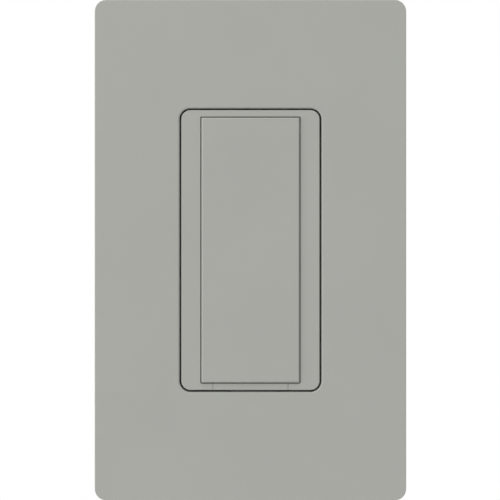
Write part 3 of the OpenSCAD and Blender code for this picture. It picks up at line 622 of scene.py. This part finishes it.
def settle(piece):
    alone(piece)
    bpy.ops.object.transform_apply(location=True, rotation=True, scale=True)


def tooth_outline(name, root, crest, pitch, low):
    """An open line along one tooth of the thread, from root to crest and back to the next root"""
    flank = 0.3 * pitch
    bpy.ops.object.select_all(action="DESELECT")
    bpy.ops.mesh.primitive_plane_add(size=1.0)
    rod = named(name)
    edit(rod)
    select_where(rod, lambda corner: corner.x < 0 or corner.y < 0)
    bpy.ops.mesh.delete(type="VERT")
    bpy.ops.mesh.select_all(action="SELECT")
    bpy.ops.transform.translate(value=(root * mm - 0.5, -0.5, low * mm))
    for out, up in ((0, 0.25 * pitch), (crest - root, flank), (0, 0.15 * pitch), (root - crest, flank)):
        bpy.ops.mesh.extrude_vertices_move(TRANSFORM_OT_translate={"value": (out * mm, 0, up * mm)})
    leave_edit()
    return rod


def threaded_rod(name, root, crest, pitch, low, high):
    turns = math.ceil((high - low) / pitch) + 3
    rod = tooth_outline(name, root, crest, pitch, low - 1.4 * pitch)
    thread = rod.modifiers.new("thread", "SCREW")
    thread.axis = "Z"
    thread.angle = 2 * math.pi
    thread.screw_offset = pitch * mm
    thread.iterations = turns
    thread.steps = round_steps
    thread.render_steps = round_steps
    apply_all(rod)
    edit(rod)
    bpy.ops.mesh.remove_doubles(threshold=0.000005)
    for height, way in ((low, -1), (high, 1)):
        bpy.ops.mesh.select_all(action="SELECT")
        bpy.ops.mesh.bisect(
            plane_co=(0, 0, height * mm),
            plane_no=(0, 0, way),
            use_fill=True,
            clear_outer=True,
            threshold=0.0000002,
        )
    bpy.ops.mesh.select_all(action="SELECT")
    bpy.ops.mesh.normals_make_consistent(inside=False)
    leave_edit()
    return rod


def loose_edges(piece):
    """Counts the edges that don't lie between exactly two faces"""
    shape = bmesh.new()
    shape.from_mesh(piece.data)
    count = sum(1 for edge in shape.edges if not edge.is_manifold)
    shape.free()
    return count


# %% [markdown]
# The point of a machine screw is turned down a little so that it starts in its nut. That is two rings of
# the thread, each drawn in towards the axis.

# %% Turn down the point
def turn_down_point(rod, low, reach, share):
    edit(rod)
    for part in (1.0, 0.5):
        select_where(rod, lambda corner: corner.z < (low + reach * part) * mm)
        bpy.ops.transform.resize(value=(share, share, 1), center_override=(0, 0, 0))
    leave_edit()


# %% [markdown]
# A head and its neck are turned, so they start as a filled circle that is extruded upwards and scaled from
# ring to ring, as a lathe tool would follow the outline. The slot and the cross are cut with Boolean
# modifiers, and a fine bevel breaks the edges. At last the rod is joined on with a Boolean union, so that
# each screw is one closed skin.

# %% Heads and recesses
def turned(name, outline, steps=48):
    """A closed solid round Z, from an outline of radius and height that goes upwards"""
    radius, height = outline[0]
    bpy.ops.object.select_all(action="DESELECT")
    bpy.ops.mesh.primitive_circle_add(vertices=steps, radius=radius * mm, fill_type="NGON", location=(0, 0, height * mm))
    piece = named(name)
    settle(piece)
    edit(piece)
    for wide, high in outline[1:]:
        bpy.ops.mesh.extrude_region_move(TRANSFORM_OT_translate={"value": (0, 0, (high - height) * mm)})
        bpy.ops.transform.resize(value=(wide / radius, wide / radius, 1), center_override=(0, 0, 0))
        radius, height = wide, high
    bpy.ops.mesh.select_all(action="SELECT")
    bpy.ops.mesh.normals_make_consistent(inside=False)
    leave_edit()
    return piece


def block_tool(size, centre, taper=1.0):
    """A block to cut with, whose lower end may be narrower"""
    bpy.ops.object.select_all(action="DESELECT")
    bpy.ops.mesh.primitive_cube_add(size=1, location=[v * mm for v in centre], scale=[v * mm for v in size])
    tool = named("cutter")
    settle(tool)
    if taper != 1.0:
        edit(tool)
        select_where(tool, lambda corner: corner.z < centre[2] * mm)
        bpy.ops.transform.resize(value=(taper, taper, 1), center_override=[v * mm for v in centre])
        leave_edit()
    return tool


def join_with(piece, tool, way):
    work = piece.modifiers.new(way.lower(), "BOOLEAN")
    work.operation = way
    work.solver = "EXACT"
    work.object = tool
    apply_all(piece)
    bpy.data.objects.remove(tool)


def cut_recess(head, radius, top, depth):
    """A slot right across, with a tapered cross in its middle"""
    wide = 0.27 * radius
    join_with(head, block_tool((2 * radius + 1, wide, 2 * depth), (0, 0, top)), "DIFFERENCE")
    reach = 1.15 * radius
    for size in ((reach, wide, 3 * depth), (wide, reach, 3 * depth)):
        join_with(head, block_tool(size, (0, 0, top), 0.62), "DIFFERENCE")


def dome(radius, height, rise, steps=6):
    """The outline of a pan head from its rim over the top"""
    rim = [(radius, 0.0), (radius, height - rise)]
    crown = []
    for step in range(1, steps + 1):
        turn = math.radians(84 * step / steps)
        crown.append((radius * (0.4 + 0.6 * math.cos(turn)), height - rise + rise * math.sin(turn)))
    return rim + crown


# %% [markdown]
# Each kind of screw is made once, standing on Z with its head's underside at nought, and is then copied to
# its places. Every copy has a mesh of its own, and its slot points another way, since nobody stops turning a
# screw at the same angle. The sizes are those of number six machine screws, with 32 turns to the inch, and of
# the coarse screws that cut their own thread into a plastic tower.

# %% Screws and their copies
def screw(name, head, neck, thread, reach):
    """A finished screw: head is (radius, height), neck is (radius, length), thread is (root, crest, pitch)"""
    top = turned(name, [(neck[0], -neck[1]), (neck[0], 0.0)] + dome(head[0], head[1], 0.6 * head[1]))
    cut_recess(top, head[0], head[1], 0.5 * head[1])
    fine = top.modifiers.new("broken_edge", "BEVEL")
    fine.width = 0.06 * mm
    fine.segments = 2
    fine.limit_method = "ANGLE"
    fine.angle_limit = math.radians(32)
    apply_all(top)
    rod = threaded_rod(name + "_rod", thread[0], thread[1], thread[2], -reach, 0.3 - neck[1])
    turn_down_point(rod, -reach, 1.2 * thread[2], 0.86)
    join_with(top, rod, "UNION")
    smooth_rounds(top, 32)
    print(name, triangles(top), "triangles,", loose_edges(top), "loose edges")
    return top


def screw_at(pattern, name, node, place, tilt, slot_turn):
    """A copy with its head's underside at a place in millimetres, tilted from Z"""
    copy = bpy.data.objects.new(name, pattern.data.copy())
    copy.data.name = name
    bpy.context.scene.collection.objects.link(copy)
    edit(copy)
    bpy.ops.transform.rotate(value=math.radians(slot_turn), orient_axis="Z", center_override=(0, 0, 0))
    leave_edit()
    copy.rotation_euler = [math.radians(v) for v in tilt]
    copy.location = [v * mm for v in place]
    settle(copy)
    stands_for(copy, node)
    return copy


def middle_of(node):
    """The middle of a solid's box, in millimetres"""
    low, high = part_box(node)
    return [(a + b) / 2 / mm for a, b in zip(low, high)]


machine_thread = (1.32, 1.75, 0.794)
plastic_thread = (0.98, 1.4, 1.25)
to_room = (90, 0, 0)
to_wall = (-90, 0, 0)
box_screw = screw("box_screw", (3.4, 2.0), (1.55, 1.9), machine_thread, 25.7)
plate_screw = screw("plate_screw", (2.9, 1.9), (1.7, 0.6), machine_thread, 6.2)
housing_screw = screw("housing_screw", (2.6, 1.6), (1.3, 0.8), plastic_thread, 28.7)
wire_screw = screw("wire_screw", (3.5, 1.5), (1.7, 0.4), machine_thread, 5.2)
ground_pattern = screw("ground_pattern", (3.5, 1.5), (1.7, 0.4), machine_thread, 4.6)

# %% Put the screws in their places
screws = []
for side, turn in ((1, 8), (-1, 97)):
    end = "upper" if side > 0 else "lower"
    screws.append(screw_at(box_screw, "box_screw_" + end, "box_screws", (0, -1.7, 41.65 * side), to_room, turn))
    screws.append(screw_at(plate_screw, "plate_screw_" + end, "adapter_screws", (0, -3.2, 48.4 * side), to_room, turn + 80))
for x, z, turn in ((17.05, 30.75, 20), (-17.05, 30.75, 70), (17.05, -30.75, 130), (-17.05, -30.75, -15)):
    name = "housing_screw_" + ("upper" if z > 0 else "lower") + ("_right" if x > 0 else "_left")
    screws.append(screw_at(housing_screw, name, "housing_screws", (x, 27.2, z), to_wall, turn))
screws.append(screw_at(wire_screw, "line_wire_screw", "line_terminal_screw", (19.85, 16.5, 14.0), (0, 90, 0), 25))
screws.append(screw_at(wire_screw, "load_wire_screw", "load_terminal_screw", (19.85, 16.5, -12.0), (0, 90, 0), 75))
screws.append(screw_at(wire_screw, "traveler_wire_screw", "traveler_terminal_screw", (-19.85, 16.5, 14.0), (0, -90, 0), 40))
screws.append(screw_at(ground_pattern, "ground_wire_screw", "ground_screw", (-15.5, 5.0, -40.3), (180, 0, 0), 55))
for pattern in (box_screw, plate_screw, housing_screw, wire_screw, ground_pattern):
    bpy.data.objects.remove(pattern)
print("screws in place:", len(screws))


# %% [markdown]
# The radio choke is a ferrite ring wound with enamelled wire. The drawing shows the winding as one smooth
# sleeve, but on the real one each turn lies by itself: close together in the bore and fanned out on the rim.
# One turn is a plane with its corners rounded, of which only the outline is kept. Made a curve with a round
# section and then a mesh again, it is wire. A spin with duplicates sets seventeen turns round five sixths of
# the ring.

# %% The choke's turns
wire_mm = 0.85
wire_turns = 17
wound_angle = 300.0


def one_turn(name, inner, outer, low, high, corner):
    """A closed loop of wire round the ring's section, in the plane of X and Z"""
    bpy.ops.object.select_all(action="DESELECT")
    place = ((inner + outer) / 2 * mm, 0, (low + high) / 2 * mm)
    bpy.ops.mesh.primitive_plane_add(size=1, location=place, rotation=(math.radians(90), 0, 0))
    loop = named(name)
    loop.scale = ((outer - inner) * mm, (high - low) * mm, 1)
    settle(loop)
    edit(loop)
    bpy.ops.mesh.bevel(affect="VERTICES", offset=corner * mm, segments=5)
    bpy.ops.mesh.select_all(action="SELECT")
    bpy.ops.mesh.delete(type="ONLY_FACE")
    leave_edit()
    bpy.ops.object.convert(target="CURVE")
    loop.data.bevel_depth = wire_mm / 2 * mm
    loop.data.bevel_resolution = 3
    bpy.ops.object.convert(target="MESH")
    return loop


choke_turns = one_turn("choke_turns", 2.95, 7.45, -0.45, 6.45, 0.8)
edit(choke_turns)
bpy.ops.mesh.remove_doubles(threshold=0.000001)
first = math.radians(wound_angle / wire_turns / 2)
bpy.ops.transform.rotate(value=first, orient_axis="Z", center_override=(0, 0, 0))
bpy.ops.mesh.spin(
    steps=wire_turns - 1,
    dupli=True,
    angle=math.radians(wound_angle) - 2 * first,
    center=(0, 0, 0),
    axis=(0, 0, 1),
)
bpy.ops.mesh.select_all(action="SELECT")
bpy.ops.mesh.normals_make_consistent(inside=False)
leave_edit()
choke_turns.rotation_euler = (math.radians(90), 0, 0)
choke_turns.location = (0, 12.5 * mm, -18.5 * mm)
settle(choke_turns)
smooth_rounds(choke_turns, 60)
stands_for(choke_turns, "choke_winding")
print("choke_turns", triangles(choke_turns), "triangles,", loose_edges(choke_turns), "loose edges")


# %% [markdown]
# The surge absorber is a disc dipped in blue epoxy. The dip leaves it lens-shaped, and a little runs down
# each lead. The disc and its leads are turned like the screw heads and joined, so the drops flow into it.

# %% The surge absorber
surge_lens = turned(
    "surge_lens",
    [(2.2, -1.3), (3.2, -1.18), (3.9, -0.92), (4.35, -0.5), (4.5, 0.0), (4.35, 0.5), (3.9, 0.92), (3.2, 1.18), (2.2, 1.3)],
)
surge_lens.rotation_euler = (0, math.radians(90), 0)
settle(surge_lens)
for side in (-1, 1):
    lead = turned("lead", [(0.95, 2.6), (0.9, 3.4), (0.72, 4.2), (0.5, 4.8), (0.4, 5.1), (0.4, 5.5)], 20)
    lead.location = (0, 0.55 * 4.5 * side * mm, 0)
    settle(lead)
    join_with(surge_lens, lead, "UNION")
surge_lens.rotation_euler = (math.radians(90), 0, 0)
surge_lens.location = (-13.2 * mm, 11.1 * mm, -22.4 * mm)
settle(surge_lens)
smooth_rounds(surge_lens, 50)
stands_for(surge_lens, "surge_disc")
print("surge_lens", triangles(surge_lens), "triangles,", loose_edges(surge_lens), "loose edges")


# %% [markdown]
# The storage capacitor is an aluminium can in a shrunk sleeve. The sleeve folds over the rim and leaves the
# can's end bare, with a scored cross that lets it vent. Near the board the can is rolled in round its rubber
# plug, and a pale stripe down the sleeve marks the negative lead. One outline turns the whole body, and the
# bare end and the stripe are faces with a finish of their own.

# %% The storage capacitor
can_metal = plated("can_metal", seen(200, 202, 204), seen(190, 192, 194), 0.34)
stripe_grey = glazed("stripe_grey", seen(168, 172, 180), 0.32, 3.0, 0.04)
storage_can = turned(
    "storage_can",
    [(3.1, 0.3), (3.15, 0.06), (3.45, 0.0), (3.85, 0.12), (4.0, 0.45), (4.0, 8.5), (3.9, 8.75), (3.72, 8.95)]
    + [(3.72, 9.3), (3.9, 9.5), (4.0, 9.75), (4.0, 10.7), (3.85, 10.92), (3.5, 11.0)],
)
for size in ((4.6, 0.28, 0.2), (0.28, 4.6, 0.2)):
    join_with(storage_can, block_tool(size, (0, 0, 0.3)), "DIFFERENCE")
bare = [face.index for face in storage_can.data.polygons if face.center.z > 0.19 * mm and face.center.z < 0.41 * mm
        and math.hypot(face.center.x, face.center.y) < 3.05 * mm]
striped = [face.index for face in storage_can.data.polygons if face.center.z > 0.5 * mm and face.center.z < 10.5 * mm
           and face.center.x > 0 and abs(face.center.y) < 1.1 * mm]
storage_can.rotation_euler = (math.radians(90), 0, 0)
storage_can.location = (13.2 * mm, 16.6 * mm, -22.4 * mm)
settle(storage_can)
stands_for(storage_can, "storage_capacitor")
storage_can.data.materials.append(can_metal)
storage_can.data.materials.append(stripe_grey)
for faces, finish in ((bare, 1), (striped, 2)):
    for index in faces:
        storage_can.data.polygons[index].material_index = finish
smooth_rounds(storage_can, 35)
print("storage_can", triangles(storage_can), "triangles,", loose_edges(storage_can), "loose edges")


# %% [markdown]
# The last step sets the colour view to Standard and hands the scene over.

# %% Colour view
scene = bpy.context.scene
scene.view_settings.view_transform = "Standard"
